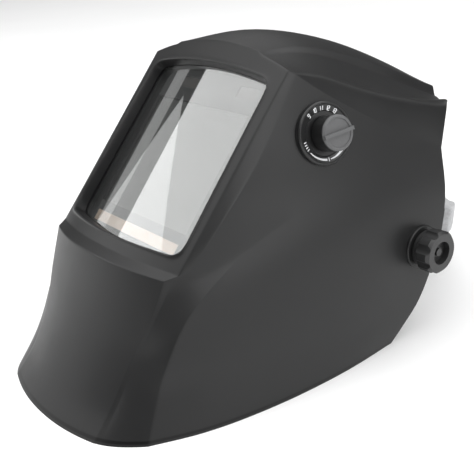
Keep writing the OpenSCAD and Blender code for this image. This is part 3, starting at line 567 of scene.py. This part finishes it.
def resample(points, side_fractions):
    """Points on a closed outline at given fractions of the four sides between its corners."""
    closed = np.vstack([points, points[:1]])
    length = np.concatenate([[0], np.cumsum(np.linalg.norm(np.diff(closed, axis=0), axis=1))])
    total = length[-1]
    corners = []
    for sx, sy in ((-1, -1), (1, -1), (1, 1), (-1, 1)):
        corners.append(length[int(np.argmax(points @ np.array([sx, sy], float)))])
    out = []
    for k in range(4):
        a, b = corners[k], corners[(k + 1) % 4]
        if b < a:
            b += total
        for f in side_fractions[k]:
            s = (a + (b - a) * f) % total
            out.append([np.interp(s, length, closed[:, 0]), np.interp(s, length, closed[:, 1])])
    return np.array(out)


LENS_R, LENS_TOP = 305.0, -1.5  # mm: the lens is a cylinder of this radius, its top this far behind the plane


def lens_height(x):
    return LENS_TOP - LENS_R + math.sqrt(LENS_R**2 - x * x)


class Surface:
    """Points and faces in millimetres, welded when the mesh is made."""

    def __init__(self):
        self.points, self.faces = [], []

    def grid(self, rows, closed=False):
        base = len(self.points)
        width = len(rows[0])
        for row in rows:
            self.points.extend(row)
        for i in range(len(rows) - 1):
            for j in range(width if closed else width - 1):
                k = (j + 1) % width
                a, b = base + i * width + j, base + i * width + k
                self.faces.append((a, b, b + width, a + width))


def mirror(p):
    return np.array([-p[0], p[1], p[2]])


# Steps from the frame's outer edge to the opening; the rolled lip as (growth of the outline, lift); then the
# wall of the recess, which narrows by DRAFT on its way down to LENS_GAP above the lens. In mm.
FRAME_STEPS = (0.05, 0.12, 0.24, 0.4, 0.56, 0.7, 0.8)
LIP_STEPS = ((1.75, 0.0), (1.5, 0.22), (1.15, 0.45), (0.8, 0.5), (0.45, 0.4), (0.15, 0.05), (0, -0.5))
LIP_END = LIP_STEPS[-1][1]
DRAFT, LENS_GAP = 0.7, 0.35


def window_ring(surface):
    """The window's frame: from its outer creases over the lip and down the recess."""
    us = widths(FRAME)
    bottom = [front(FRAME, u) for u in us]
    right = [front(t, 1, False) for t in WINDOW_ROWS[1:]]
    top = [front(BROW, u) for u in us[::-1]]
    left = [front(t, -1, False) for t in WINDOW_ROWS[:0:-1]]
    outer = bottom + right + top + left
    flat = [to_window(p) for p in outer]
    along = [(u + 1) / 2 for u in us]
    rise = [(t - FRAME) / (BROW - FRAME) for t in WINDOW_ROWS[1:]]
    fractions = [along[:-1], [0, *rise], along[:-1], [0, *rise]]
    # the corner points of each side are shared, so each side starts with its corner
    inner = resample(outline(), fractions)
    ring = np.array([[p[0], p[1]] for p in flat])
    rows = [outer]
    for f in FRAME_STEPS:
        flat_row = ring * (1 - f) + inner * f
        rows.append([from_window(x, v, height_at(x, v)) for x, v in flat_row])
    base = [height_at(x, v) for x, v in inner]
    for grow, lift in LIP_STEPS:
        q = resample(outline(grow), fractions)
        rows.append([from_window(x, v, n + lift) for (x, v), n in zip(q, base)])
    for part in (0.25, 0.5, 0.75, 1.0):
        q = resample(outline(-DRAFT * part), fractions)
        rows.append([
            from_window(x, v, (n + LIP_END) * (1 - part) + (lens_height(x) + LENS_GAP) * part)
            for (x, v), n in zip(q, base)
        ])
    surface.grid(rows, closed=True)


def shell_surface():
    """The outer skin: front, frame, crown, both sides and both cheeks."""
    s = Surface()
    s.grid([[front(t, u) for u in widths(t)] for t in [*LOW, *LIP, FRAME]])
    window_ring(s)
    s.grid([[front(t, u) for u in widths(t)] for t in CROWN_ROWS])
    rows = [[side(t, v) for v in SIDE_STEPS] for t in LEVELS]
    s.grid(rows)
    s.grid([[mirror(p) for p in row[::-1]] for row in rows])
    ws = [t / LEDGE for t in LOW] + [1.0]
    us = [(t - LEDGE) / (BROW - LEDGE) for t in LIP + WINDOW_ROWS] + [1.0]
    rows = [[cheek(u, w) for u in us] for w in ws]
    s.grid([row[::-1] for row in rows])
    s.grid([[mirror(p) for p in row] for row in rows])
    return s


# In mm: points closer than WELD are joined, faces thinner than SLIVER go, TINY keeps 1 / length finite.
WELD, SLIVER, TINY = 0.02, 0.005, 1e-3
# A point starts to move where the mean of its neighbours is FOLD * START mm away, and moves PULL of the way
# from FOLD * (1 + START) mm on, so that only folds are rounded.
ROUNDS, FOLD, START, PULL = 2, 0.05, 0.6, 0.6
WALL = 2.4


def welded(points, faces):
    """The skin as one bmesh: shared points joined, slivers dissolved, normals made to agree."""
    bm = bmesh.new()
    for p in points:
        bm.verts.new(p)
    bm.verts.ensure_lookup_table()
    for f in faces:
        bm.faces.new([bm.verts[i] for i in f])
    bmesh.ops.remove_doubles(bm, verts=bm.verts, dist=WELD)
    bmesh.ops.dissolve_degenerate(bm, dist=SLIVER, edges=bm.edges)
    bmesh.ops.recalc_face_normals(bm, faces=bm.faces)
    bm.verts.index_update()
    return bm


def eased(co, edges, pinned):
    """One round of smoothing: moves points on folds towards the mean of their neighbours.

    The nearer a neighbour is, the more it counts."""
    weight = 1 / (np.linalg.norm(co[edges[:, 0]] - co[edges[:, 1]], axis=1) + TINY)
    total = np.zeros(len(co))
    pull = np.zeros((len(co), 3))
    for a, b in ((0, 1), (1, 0)):
        np.add.at(total, edges[:, a], weight)
        np.add.at(pull, edges[:, a], weight[:, None] * co[edges[:, b]])
    shift = pull / total[:, None] - co
    scale = np.clip(np.linalg.norm(shift, axis=1) / FOLD - START, 0, 1) * PULL
    scale[pinned] = 0
    return co + shift * scale[:, None]


def build_shell():
    surface = shell_surface()
    bm = welded(surface.points, surface.faces)
    co = np.array([v.co[:] for v in bm.verts])
    edges = np.array([[e.verts[0].index, e.verts[1].index] for e in bm.edges])
    open_edge = np.array([len(e.link_faces) != 2 for e in bm.edges])
    pinned = np.zeros(len(co), bool)
    pinned[edges[open_edge].ravel()] = True
    for _ in range(ROUNDS):
        co = eased(co, edges, pinned)
    for v, p in zip(bm.verts, co):
        v.co = (Vector(p) + Vector((0, Y_SHIFT, 0))) * MM
    mesh = bpy.data.meshes.new("shell_skin")
    bm.to_mesh(mesh)
    # the outermost face on the +x side has to look outwards
    far = max(mesh.polygons, key=lambda f: f.center.x)
    if far.normal.x < 0:
        mesh.flip_normals()
    bm.free()
    obj = bpy.data.objects.new("mask_shell", mesh)
    scene.collection.objects.link(obj)
    mesh.materials.append(M["shell"])
    solid = obj.modifiers.new("wall", "SOLIDIFY")
    solid.thickness = WALL * MM
    solid.offset = -1
    solid.use_even_offset = True
    solid.thickness_clamp = 0.6
    applied(obj)
    # the wall stays above the floor and within the CAD shell's top and front
    low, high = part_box("shell")
    for v in obj.data.vertices:
        v.co.z = min(max(v.co.z, 0.0), high.z)
        v.co.y = max(v.co.y, low.y)
    shade(obj, 40)
    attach(obj, "helmet")
    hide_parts("shell")
    return obj


MASK = build_shell()


# ---------------------------------------------------------------- bores and bosses
# Places and sizes, in mm. A profile is a list of (radius, height); a reach is the two heights a bore runs
# between.
PIVOT = (0, 75, 66.5)
PIVOT_BORE, PIVOT_REACH = 6.2, (96, 112)
PIVOT_BOSS = [(6.1, 103.5), (14.4, 103.5), (15, 104.1), (15, 107.9), (14.4, 108.5), (6.1, 108.5)]
DIAL, DIAL_YAW, DIAL_TILT = (83.4, 9.8, 156.55), -8, 77
DIAL_BORE, DIAL_REACH = 4.6, (-12, 4)
DIAL_SEAT = [(4.6, -3.6), (19.6, -3.6), (20.1, -3.1), (20.1, -0.2), (4.6, -0.2)]
SCREW_HOLE, HOLDER_BOSS, BOSS_BACK, BOSS_SUNK = 1.55, 2.6, -11.4, 1
HOLDER_BOSSES = ((48, -71.5, 3.9), (-48, -71.5, 3.9), (48, 71.5, 0), (-48, 71.5, 0))  # x, v, top in the CAD


def frame_of(origin, x, y, z):
    m = Matrix((Vector(x), Vector(y), Vector(z))).transposed().to_4x4()
    m.translation = (Vector(origin) + Vector((0, Y_SHIFT, 0))) * MM
    return m


def pivot_frame(side):
    return frame_of(PIVOT, (0, 0, -side), (0, 1, 0), (side, 0, 0))


def dial_frame():
    turn = Matrix.Rotation(math.radians(DIAL_YAW), 3, "Z") @ Matrix.Rotation(math.radians(DIAL_TILT), 3, "Y")
    return frame_of(DIAL, *turn.col)


def lathe(profile, steps, where):
    """Closed ring of revolution: profile of (radius, height) in millimetres, turned about z."""
    points, faces, count = [], [], len(profile)
    for k in range(steps):
        a = math.tau * k / steps
        points.extend(where @ (Vector((q * math.cos(a), q * math.sin(a), h)) * MM) for q, h in profile)
    for k in range(steps):
        for j in range(count):
            a, b = k * count + j, k * count + (j + 1) % count
            c, d = (k + 1) % steps * count + j, (k + 1) % steps * count + (j + 1) % count
            faces.append((a, c, d, b))
    return points, faces


def bore(obj, radius, reach, where):
    """Cuts a round hole through the shell."""
    low, high = reach
    mesh = bpy.data.meshes.new("cutter")
    bm = bmesh.new()
    bmesh.ops.create_cone(bm, cap_ends=True, segments=64, radius1=radius * MM, radius2=radius * MM,
                          depth=(high - low) * MM)
    middle = Matrix.Translation((0, 0, (low + high) / 2 * MM))
    bmesh.ops.transform(bm, matrix=where @ middle, verts=bm.verts)
    bm.to_mesh(mesh)
    bm.free()
    cutter = bpy.data.objects.new("cutter", mesh)
    scene.collection.objects.link(cutter)
    cut = obj.modifiers.new("bore", "BOOLEAN")
    cut.operation = "DIFFERENCE"
    cut.solver = "EXACT"
    cut.object = cutter
    applied(obj)
    bpy.data.objects.remove(cutter)


def turned(name, profile, steps, where):
    """Turned detail of the shell's own plastic."""
    points, faces = lathe(profile, steps, where)
    shade(helmet_piece(name, points, faces, "shell"), 30)


def add_bosses():
    for side, name in ((1, "left"), (-1, "right")):
        where = pivot_frame(side)
        bore(MASK, PIVOT_BORE, PIVOT_REACH, where)
        turned("pivot_boss_" + name, PIVOT_BOSS, 72, where)


def add_seats():
    """Bore and seat of the shade dial, and the four bosses that take the lens holder's screws."""
    where = dial_frame()
    bore(MASK, DIAL_BORE, DIAL_REACH, where)
    turned("dial_seat", DIAL_SEAT, 72, where)
    for k, (x, v, cad_top) in enumerate(HOLDER_BOSSES):
        spot = frame_of(from_window(x, v, 0), (1, 0, 0), UP, OUT)
        top = cad_top - BOSS_SUNK
        profile = [(SCREW_HOLE, BOSS_BACK), (HOLDER_BOSS, BOSS_BACK), (HOLDER_BOSS, top), (SCREW_HOLE, top)]
        turned("holder_boss_%d" % (k + 1), profile, 40, spot)


add_bosses()
add_seats()


# ---------------------------------------------------------------- dial scale
SEGMENTS = {"0": "abcdef", "1": "bc", "2": "abged", "3": "abgcd", "9": "abcdfg"}
STROKES = {"a": (0, 2, 1, 2), "b": (1, 2, 1, 1), "c": (1, 1, 1, 0), "d": (0, 0, 1, 0),
           "e": (0, 0, 0, 1), "f": (0, 1, 0, 2), "g": (0, 1, 1, 1)}


# In mm: the cone that the scale is printed on, the radius at which a width becomes an angle, and the rings
# that ticks, bands and the bottom mark keep to.
CONE_LOW, CONE_RISE, CONE_START, CONE_WIDE = 1.0, 0.6, 14.1, 3.4
SCALE_R, TICK_IN, TICK_OUT, BAND_R, MARK_OUT = 15.8, 14.9, 16.9, 16, 17.1
INK_BELOW, INK_ABOVE = -0.05, 0.1
# The numbers: angle of the first and step to the next, pitch, width and left edge of a digit in degrees, then
# its inner radius, half its height and its stroke in mm.
FIRST_NUMBER, NUMBER_STEP, PITCH, DIGIT_WIDE, DIGIT_EDGE = 217, 18.5, 5.8, 4.0, 0.6
DIGIT_R, HALF_DIGIT, STROKE, TICK = 14.4, 1.3, 0.55, 0.6


def dial_scale():
    """Printed scale: shade numbers over the top, ticks and two widening bands round the bottom."""
    where = dial_frame()
    points, faces = [], []

    def at(angle, radius, lift):
        face = CONE_LOW + CONE_RISE * (radius - CONE_START) / CONE_WIDE
        a = math.radians(angle)
        return where @ (Vector((radius * math.cos(a), radius * math.sin(a), face + lift)) * MM)

    def slab(a0, r0, a1, r1, wide):
        dx, dy = (a1 - a0) * math.radians(SCALE_R), r1 - r0
        size = math.hypot(dx, dy)
        nx, ny = -dy / size * wide / 2, dx / size * wide / 2
        corners = [(a0, r0, 1), (a1, r1, 1), (a1, r1, -1), (a0, r0, -1)]
        base = len(points)
        for lift in (INK_BELOW, INK_ABOVE):
            for a, q, sign in corners:
                points.append(at(a + sign * math.degrees(nx / SCALE_R), q + sign * ny, lift))
        faces.extend(tuple(base + i for i in f) for f in (
            (0, 1, 2, 3), (7, 6, 5, 4), (0, 4, 5, 1), (1, 5, 6, 2), (2, 6, 7, 3), (3, 7, 4, 0)))

    def digit(start, strokes):
        for x0, y0, x1, y1 in strokes:
            slab(start - x0 * DIGIT_WIDE, DIGIT_R + y0 * HALF_DIGIT,
                 start - x1 * DIGIT_WIDE, DIGIT_R + y1 * HALF_DIGIT, STROKE)

    for k, label in enumerate(("9", "10", "11", "12", "13")):
        middle = FIRST_NUMBER - NUMBER_STEP * k
        for j, figure in enumerate(label):
            start = middle + PITCH * (len(label) / 2 - j) - DIGIT_EDGE
            digit(start, [STROKES[stroke] for stroke in SEGMENTS[figure]])
    for a in range(-80, -58, 6):
        slab(a, TICK_IN, a, TICK_OUT, TICK)
    for first, last in ((-54, -6), (4, 44)):
        for a in range(first, last, 4):
            slab(a, BAND_R, a + 4.2, BAND_R, 0.7 + 0.8 * (a - first) / (last - first))
    slab(-1, TICK_IN, -1, MARK_OUT, TICK)
    helmet_piece("dial_scale", points, faces, "white")


dial_scale()


# ---------------------------------------------------------------- pads
PRESSURE, CLOTH_FRAMES = 4, 20
SHRINK, CAP = 0.7, 1.2  # mm: how much smaller the pad starts, and how far the cloth run may move a point


def soften(node, name, body, material, voxel):
    """Padded piece from its CAD solid, swollen by a short cloth run under pressure."""
    source = NODES[node]
    mesh = source.data.copy()
    mesh.transform(source.matrix_world)
    mesh.materials.clear()
    mesh.materials.append(M[material])
    obj = bpy.data.objects.new(name, mesh)
    scene.collection.objects.link(obj)
    remesh = obj.modifiers.new("remesh", "REMESH")
    remesh.mode = "VOXEL"
    remesh.voxel_size = voxel * MM
    applied(obj)
    start = [v.co - v.normal * SHRINK * MM for v in obj.data.vertices]
    for v, p in zip(obj.data.vertices, start):
        v.co = p
    cloth = obj.modifiers.new("cloth", "CLOTH")
    cloth.settings.use_pressure = True
    cloth.settings.uniform_pressure_force = PRESSURE
    cloth.settings.effector_weights.gravity = 0
    for f in range(1, CLOTH_FRAMES + 1):
        scene.frame_set(f)
    applied(obj)
    for v, p in zip(obj.data.vertices, start):
        move = v.co - p
        if move.length > CAP * MM:
            v.co = p + move * (CAP * MM / move.length)
    scene.frame_set(1)
    low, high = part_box(node)
    for v in obj.data.vertices:
        for k in range(3):
            v.co[k] = min(max(v.co[k], low[k]), high[k])
    smooth = obj.modifiers.new("smooth", "SUBSURF")
    smooth.levels = smooth.render_levels = 1
    applied(obj)
    shade(obj, 60)
    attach(obj, body)
    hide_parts(node)


soften("rear_pad", "nape_cushion", "rear_band", "pad", 2.4)
soften("sweatband", "brow_cushion", "headgear", "sweatband", 3.0)


# ---------------------------------------------------------------- studio
FLOOR = 12.0  # m from the middle to an edge
AIM, WINDOW = Vector((0, 0, 0.1)), Vector((0, -0.0745, 0.1465))


def paper():
    n = Nodes("floor_paper")
    n.colour(n.ramp(n.noise(3, 2), [(0.3, (0.93, 0.93, 0.93)), (0.7, (0.95, 0.95, 0.95))]))
    return n.set(Roughness=0.9, Specular_IOR_Level=0.1).mat


def panel(name, middle, towards, away, wide, high, level, along=None):
    """Light panel that faces the middle from a distance; along is the direction its long edges follow."""
    out = Vector(towards).normalized()
    data = bpy.data.lights.new(name, "AREA")
    data.shape = "RECTANGLE"
    data.size, data.size_y = wide, high
    data.energy = math.pi * wide * high * level
    light = bpy.data.objects.new(name, data)
    scene.collection.objects.link(light)
    light.location = middle + out * away
    if along is None:
        light.rotation_euler = (middle - light.location).to_track_quat("-Z", "Y").to_euler()
    else:
        up = (along - out * along.dot(out)).normalized()
        light.rotation_euler = Matrix((up.cross(out), up, out)).transposed().to_euler()


def studio():
    corners = [(-FLOOR, -FLOOR, 0), (FLOOR, -FLOOR, 0), (FLOOR, FLOOR, 0), (-FLOOR, FLOOR, 0)]
    floor = plain_object("studio_floor", corners, [(0, 1, 2, 3)], paper())
    world = bpy.data.worlds.new("studio")
    world.use_nodes = True
    background = world.node_tree.nodes["Background"]
    background.inputs["Color"].default_value = (1, 1, 1, 1)
    background.inputs["Strength"].default_value = 0.1
    scene.world = world
    panel("overhead", AIM, (0.12, 0.08, 1), 3.4, 6.2, 6.2, 2.1)
    panel("far_floor", Vector((-4.6, 3.0, 0)), (0, 0, 1), 3.0, 4.0, 4.0, 0.6)
    panel("key_left", AIM, (-0.736, -0.657, 0.25), 1.5, 1.3, 1.0, 0.75)
    panel("side_right", AIM, (0.95, 0.03, 0.36), 1.5, 1.3, 0.62, 3.6)
    panel("window_narrow", WINDOW, (-0.927, -0.214, 0.309), 1.5, 0.16, 1.3, 0.45, Vector(UP))
    panel("window_wide", WINDOW, (-0.557, -0.557, 0.616), 1.5, 1.25, 1.3, 1.65, Vector(UP))
    scene.view_settings.view_transform = "Standard"


studio()
